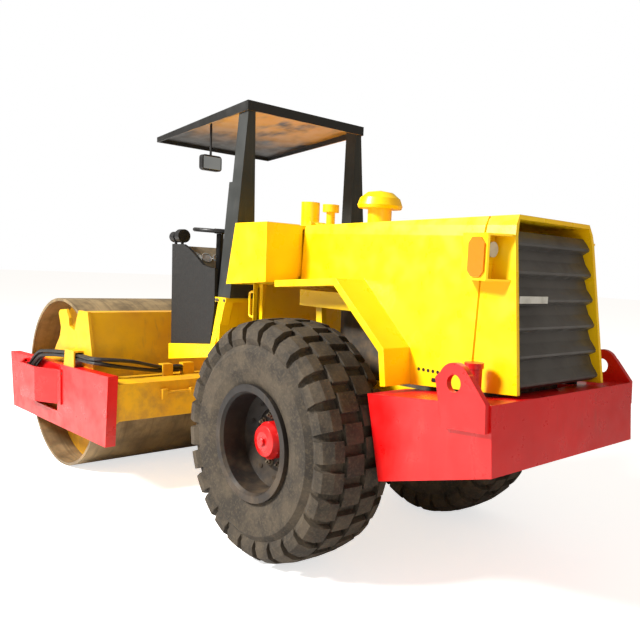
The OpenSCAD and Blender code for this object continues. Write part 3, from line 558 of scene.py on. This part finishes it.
def pad_welt(size, inset, face, place):
    """The piping round the crowned face."""
    axis, sign = face
    p1, p2 = (k for k in range(3) if k != axis)
    corners = []
    for a, b in ((-1, -1), (1, -1), (1, 1), (-1, 1)):
        c = Vector((0, 0, 0))
        c[axis] = sign * (size[axis] / 2 - inset)
        c[p1] = a * (size[p1] / 2 - inset)
        c[p2] = b * (size[p2] / 2 - inset)
        corners.append(place(c))
    loop = []
    for i in range(4):
        for k in range(WELT_STEPS):
            t = WELT_CORNER + (1 - 2 * WELT_CORNER) * k / WELT_STEPS
            loop.append(corners[i].lerp(corners[(i + 1) % 4], t))
    bm = bmesh.new()
    add_tube(bm, loop + [loop[0]], WELT_RADIUS, 8, caps=False)
    return bm


def pad(name, node, low, high, radius, crown, channels, face):
    """A padded block between two quads, low and high = ((x0, x1), (y0, y1), z), with channels at
    places 0 to 1 across its face, in place of a node."""
    width = (low[0][1] - low[0][0] + high[0][1] - high[0][0]) / 2
    size = (width, low[1][1] - low[1][0], high[2] - low[2])
    place = pad_place(low, high, size)
    bm = pad_surface(size, lambda q: place(pad_point(q, size, radius, crown, channels, face)))
    piece = mesh_object(name, bm, vinyl, "rear_module", smooth=True)
    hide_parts(node)
    welt = pad_welt(size, radius * 0.32, face, place)
    mesh_object(name + "_welt", welt, vinyl, "rear_module", smooth=True)


CUSHION_X = (AXLE_X + 0.992, AXLE_X + 1.388)
CUSHION_Y = (0.06, 0.52)
BACK_FOOT_X = (AXLE_X + 1.012, AXLE_X + 1.112)
BACK_TOP_X = (AXLE_X + 1.0, AXLE_X + 1.074)
BACK_Y = (0.07, 0.51)
pad("cushion_pad", "seat_cushion", (CUSHION_X, CUSHION_Y, 1.5405), (CUSHION_X, CUSHION_Y, 1.652),
    0.04, 0.010, (0.3, 0.52, 0.74), (2, 1))
pad("back_pad", "seat_back", (BACK_FOOT_X, BACK_Y, 1.668), (BACK_TOP_X, BACK_Y, 2.048),
    0.034, 0.012, (0.24, 0.46, 0.68), (0, 1))


# Grab handle on a bracket under the left side box
HANDLE_Y = 0.60
HANDLE_X = AXLE_X + 0.712
HANDLE_END_X = AXLE_X + 0.650
HANDLE_Z = (1.52, 1.700)
BRACKET_X = AXLE_X + 0.622
BRACKET_Z = (1.50, 1.763)


def grab_handle():
    bottom, top = HANDLE_Z
    bend_x = HANDLE_X - 0.027
    corner_x = HANDLE_X - 0.007
    places = [(HANDLE_END_X, top), (bend_x, top), (corner_x, top - 0.006), (HANDLE_X, top - 0.024),
              (HANDLE_X, (bottom + top) / 2), (HANDLE_X, bottom + 0.024), (corner_x, bottom + 0.006),
              (bend_x, bottom), (HANDLE_END_X, bottom)]
    bm = bmesh.new()
    add_tube(bm, curve([(x, HANDLE_Y, z) for x, z in places], 6), 0.009, 10)
    mesh_object("grab_handle", bm, yellow, "rear_module", smooth=True)


def handle_bracket():
    """A folded strip: a plate beside the handle and a flange along its edge."""
    bottom, top = BRACKET_Z
    bm = bmesh.new()
    add_box(bm, (BRACKET_X, HANDLE_Y - 0.010, bottom), (BRACKET_X + 0.033, HANDLE_Y - 0.002, top), 0.001)
    add_box(bm, (BRACKET_X, HANDLE_Y - 0.010, bottom), (BRACKET_X + 0.006, HANDLE_Y + 0.030, top), 0.001)
    mesh_object("handle_bracket", bm, yellow, "rear_module")


grab_handle()
handle_bracket()


# Bolts of the folded covers and of the pillars
COVER_FACE = 1.1908
COVER_BOLTS = ((2.611, 0.881), (2.634, 0.751), (2.636, 0.64), (3.44, 0.881), (3.447, 0.751), (3.45, 0.64))
FOOT_FACE = 0.6902
FOOT_BOLTS_X = (0.99, 1.012, 0.905)
FOOT_BOLTS_Z = 1.62
PILLAR_FACE = 0.4618
PILLAR_X = 0.975
PILLAR_BOLTS_Z = (1.93, 1.97)


def cover_bolts():
    bm = bmesh.new()
    for y, _ in SIDES:
        for x, z in COVER_BOLTS:
            add_bolt(bm, (AXLE_X + x, y * COVER_FACE, z), (0, y, 0), 0.011, 0.010)
    mesh_object("cover_bolts", bm, zinc_dusty, "front_module")


def pillar_bolts():
    bm = bmesh.new()
    for y, _ in SIDES:
        for x in FOOT_BOLTS_X:
            add_bolt(bm, (AXLE_X + x, y * FOOT_FACE, FOOT_BOLTS_Z), (0, y, 0), 0.009, 0.008)
        for z in PILLAR_BOLTS_Z:
            add_bolt(bm, (AXLE_X + PILLAR_X, y * PILLAR_FACE, z), (0, -y, 0), 0.009, 0.008)
    mesh_object("pillar_bolts", bm, zinc_dusty, "rear_module")


cover_bolts()
pillar_bolts()


# Hood: blank plate on the grille, vent holes and a latch in each side
PLATE_LOW = (AXLE_X - 1.5035, 0.10, 1.772)
PLATE_HIGH = (AXLE_X - 1.4998, 0.375, 1.812)
HOOD_TOP_Z = 2.25
HOOD_TOP_HALF = 0.405
HOOD_FLARE = 0.054
VENT_COUNT = 5
VENT_STEP = 0.038
VENT_X = AXLE_X - 0.86
VENT_Z = 1.335
LATCH_LOW = (AXLE_X - 1.02, 1.273)
LATCH_HIGH = (AXLE_X - 0.97, 1.297)
LATCH_FACE = 0.4575
LATCH_HALF = 0.0015


def grille_plate():
    bm = bmesh.new()
    add_box(bm, PLATE_LOW, PLATE_HIGH, 0.001)
    mesh_object("grille_plate", bm, plate_white, "hood")


def hood_vents(y, name):
    """A row of round vents just proud of the panel, which widens downward; each vent is a dark disc, painted
    shade in place of a real hole.
    """
    face = HOOD_TOP_HALF + (HOOD_TOP_Z - VENT_Z) * HOOD_FLARE + 0.0005
    bm = bmesh.new()
    for i in range(VENT_COUNT):
        shaded_hole_disc(bm, (VENT_X - VENT_STEP * i, y * face, VENT_Z), (0, y, 0), 0.009)
    # Painted shade: the dark rim_black discs stand in for the shaded inside of the vent holes.
    mesh_object(f"hood_vents_{name}", bm, rim_black, "hood")


def hood_latch(y, name):
    bm = bmesh.new()
    add_box(bm, (LATCH_LOW[0], y * LATCH_FACE - LATCH_HALF, LATCH_LOW[1]),
            (LATCH_HIGH[0], y * LATCH_FACE + LATCH_HALF, LATCH_HIGH[1]), 0.004)
    mesh_object(f"hood_latch_{name}", bm, rim_black, "hood")


grille_plate()
for side, side_name in SIDES:
    hood_vents(side, side_name)
    hood_latch(side, side_name)


# Glass of the mirror and of the work lights
MIRROR_LOW = (AXLE_X + 1.473, 0.395, 2.622)
MIRROR_HIGH = (AXLE_X + 1.4755, 0.545, 2.718)
WORK_LIGHT_Y = 0.677
WORK_LIGHT_FACE = 0.0302
WORK_LIGHTS = ((1.645, 0.042, 2.0743), (1.545, 0.052, 2.0843))


def mirror_face():
    bm = bmesh.new()
    add_box(bm, MIRROR_LOW, MIRROR_HIGH, 0.001)
    mesh_object("mirror_face", bm, glass_mirror, "rear_module")


def work_light_glass():
    """A domed glass in each housing, at (x, radius, z)."""
    bm = bmesh.new()
    for x, r, z in WORK_LIGHTS:
        add_lathe(bm, [(r * 0.9, 0), (r * 0.88, 0.004), (r * 0.5, 0.010), (0, 0.012)],
                  aimed((1, 0, 0), (AXLE_X + x + WORK_LIGHT_FACE, WORK_LIGHT_Y, z)), 28)
    mesh_object("work_light_glass", bm, clear_lens, "rear_module", smooth=True)


mirror_face()
work_light_glass()


# Dials and a lever on the console
PANEL_NORMAL = (-0.825, 0, 0.565)
DIAL_X = AXLE_X + 1.5655
DIAL_Z = 1.922
DIALS = ((0.36, 0.034), (0.45, 0.045), (0.54, 0.045), (0.62, 0.03))
LEVER_PATH = ((AXLE_X + 1.54, 0.62, 1.6), (AXLE_X + 1.50, 0.62, 1.68), (AXLE_X + 1.44, 0.61, 1.80))
KNOB_AT = (AXLE_X + 1.436, 0.61, 1.812)
KNOB_TILT = (-0.4, 0, 1)


def dials():
    """Round dials in a row across the panel, at (y, radius)."""
    bm = bmesh.new()
    for y, r in DIALS:
        add_lathe(bm, [(r, 0), (r, 0.006), (r * 0.86, 0.007), (r * 0.84, 0.003), (0, 0.003)],
                  aimed(Vector(PANEL_NORMAL).normalized(), Vector((DIAL_X, y, DIAL_Z))), 24)
    mesh_object("dials", bm, clear_lens, "rear_module")


def lever():
    bm = bmesh.new()
    add_tube(bm, curve(LEVER_PATH, 6), 0.008, 10)
    add_lathe(bm, [(0, -0.022), (0.018, -0.014), (0.024, 0.0), (0.02, 0.014), (0, 0.022)],
              aimed(KNOB_TILT, KNOB_AT), 18)
    mesh_object("lever", bm, console_black, "rear_module", smooth=True)


dials()
lever()


# Camera, at the photograph's viewpoint
SENSOR = 36
PHOTO_SIDE = 640
FOCAL_PIXELS = 728.119
CENTRE_PIXELS = (426.249, 352.968)
CAMERA_AT = (AXLE_X - 3.80663, 3.61547, 1.93720)
CAMERA_ANGLES = (-47.52958, -6.65482, 3.08044)


def add_camera():
    data = bpy.data.cameras.new("camera")
    camera = bpy.data.objects.new("camera", data)
    bpy.context.scene.collection.objects.link(camera)
    yaw, pitch, roll = (math.radians(a) for a in CAMERA_ANGLES)
    forward = Vector((math.cos(yaw) * math.cos(pitch), math.sin(yaw) * math.cos(pitch), math.sin(pitch)))
    right = Vector((math.sin(yaw), -math.cos(yaw), 0))
    above = right.cross(forward)
    turned_right = math.cos(roll) * right + math.sin(roll) * above
    turned_up = -math.sin(roll) * right + math.cos(roll) * above
    turn = Matrix((turned_right, turned_up, -forward)).transposed()
    camera.matrix_world = Matrix.Translation(CAMERA_AT) @ turn.to_4x4()
    data.sensor_width = SENSOR
    data.lens = SENSOR * FOCAL_PIXELS / PHOTO_SIDE
    data.shift_x = (PHOTO_SIDE / 2 - CENTRE_PIXELS[0]) / PHOTO_SIDE
    data.shift_y = (CENTRE_PIXELS[1] - PHOTO_SIDE / 2) / PHOTO_SIDE
    data.clip_end = 200
    bpy.context.scene.camera = camera


add_camera()


# Light and surroundings
SKY_SHARE = 0.36
SKY_TINT = (1.0, 0.92, 0.82, 1)
WHITE = (1, 1, 1, 1)
FLOOR_GREY = (0.86, 0.86, 0.86, 1)
FLOOR_GLOW = 0.68
FLOOR_HALF = 60
scene = bpy.context.scene
scene.view_settings.view_transform = "Standard"


def add_world():
    """White where the camera sees it, and a low warm light on everything else."""
    world = bpy.data.worlds.new("world")
    scene.world = world
    world.use_nodes = True
    tree = world.node_tree
    tree.nodes.clear()
    path = tree.nodes.new("ShaderNodeLightPath")
    seen = tree.nodes.new("ShaderNodeMath")
    seen.operation = "MAXIMUM"
    seen.use_clamp = True
    tree.links.new(path.outputs["Is Camera Ray"], seen.inputs[0])
    tree.links.new(path.outputs["Is Transmission Ray"], seen.inputs[1])
    level = tree.nodes.new("ShaderNodeMapRange")
    level.inputs["To Min"].default_value = SKY_SHARE
    level.inputs["To Max"].default_value = 1.0
    tree.links.new(seen.outputs[0], level.inputs["Value"])
    background = tree.nodes.new("ShaderNodeBackground")
    tint = tree.nodes.new("ShaderNodeMix")
    tint.data_type = "RGBA"
    tint.inputs[6].default_value = SKY_TINT
    tint.inputs[7].default_value = WHITE
    tree.links.new(seen.outputs[0], tint.inputs[0])
    tree.links.new(tint.outputs[2], background.inputs[0])
    tree.links.new(level.outputs[0], background.inputs[1])
    out = tree.nodes.new("ShaderNodeOutputWorld")
    tree.links.new(background.outputs[0], out.inputs[0])


def add_area(name, at, target, size, power, colour):
    data = bpy.data.lights.new(name, "AREA")
    data.shape = "DISK"
    data.size = size
    data.energy = power
    data.color = colour
    lamp = bpy.data.objects.new(name, data)
    scene.collection.objects.link(lamp)
    lamp.matrix_world = aimed(Vector(at) - Vector(target), at)


def floor_material():
    """Pale ground that takes shadows and fades into the white behind it."""
    mat = bpy.data.materials.new("floor")
    mat.use_nodes = True
    tree = mat.node_tree
    tree.nodes.clear()
    out = tree.nodes.new("ShaderNodeOutputMaterial")
    diffuse = tree.nodes.new("ShaderNodeBsdfDiffuse")
    diffuse.inputs[0].default_value = FLOOR_GREY
    glow = tree.nodes.new("ShaderNodeEmission")
    glow.inputs[0].default_value = WHITE
    ray = tree.nodes.new("ShaderNodeLightPath")
    share = tree.nodes.new("ShaderNodeMath")
    share.operation = "MULTIPLY"
    share.inputs[1].default_value = FLOOR_GLOW
    tree.links.new(ray.outputs["Is Camera Ray"], share.inputs[0])
    tree.links.new(share.outputs[0], glow.inputs[1])
    both = tree.nodes.new("ShaderNodeAddShader")
    tree.links.new(diffuse.outputs[0], both.inputs[0])
    tree.links.new(glow.outputs[0], both.inputs[1])
    tree.links.new(both.outputs[0], out.inputs[0])
    return mat


def add_floor():
    bm = bmesh.new()
    bmesh.ops.create_grid(bm, x_segments=4, y_segments=4, size=FLOOR_HALF)
    mesh = bpy.data.meshes.new("floor")
    bm.to_mesh(mesh)
    bm.free()
    floor = bpy.data.objects.new("floor", mesh)
    mesh.materials.append(floor_material())
    scene.collection.objects.link(floor)


add_world()
add_area("key", (2.5, 9.0, 8.5), (0, 0, 1), 3.0, 2900, (1, 0.98, 0.94))
add_area("fill", (-9, 3, 4.5), (0, 0, 1), 6.0, 90, (1, 0.86, 0.70))
add_floor()
